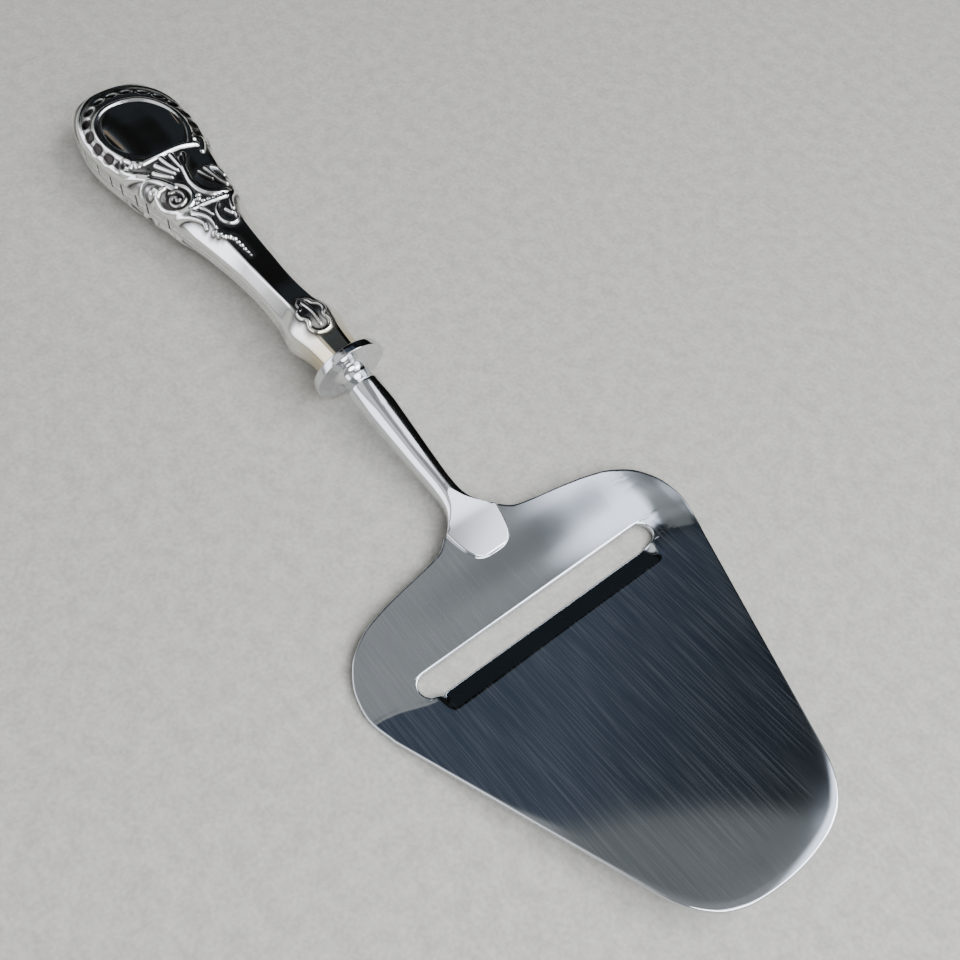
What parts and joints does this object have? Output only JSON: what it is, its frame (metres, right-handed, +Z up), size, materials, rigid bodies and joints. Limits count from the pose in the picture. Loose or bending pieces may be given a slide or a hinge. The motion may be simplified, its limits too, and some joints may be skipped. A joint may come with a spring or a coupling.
{
  "type": "cheese slicer",
  "caption": "Hand cheese slicer with a slotted spade-shaped steel blade on a tapered stem, a round bolster disc and a relief-struck silver handle.",
  "frame": {"origin": "centre of the bounding box in plan, at the table it lies on", "axes": "+X from the handle's butt to the blade's tip, +Z up from the table, +Y completes a right-handed frame"},
  "size_m": [0.2244, 0.0768, 0.0173],
  "materials": {
    "steel_sheet": "brushed lengthwise, polished edge",
    "steel_forging": "mirror polished",
    "silver": "polished silver with darkened recesses",
    "cement": "matt cast filler"
  },
  "bodies": {
    "root": {"blade_plate": "steel_sheet", "shank": "steel_forging", "handle_front_shell": "silver", "handle_back_shell": "silver", "handle_filler": "cement"}
  },
  "joints": []
}
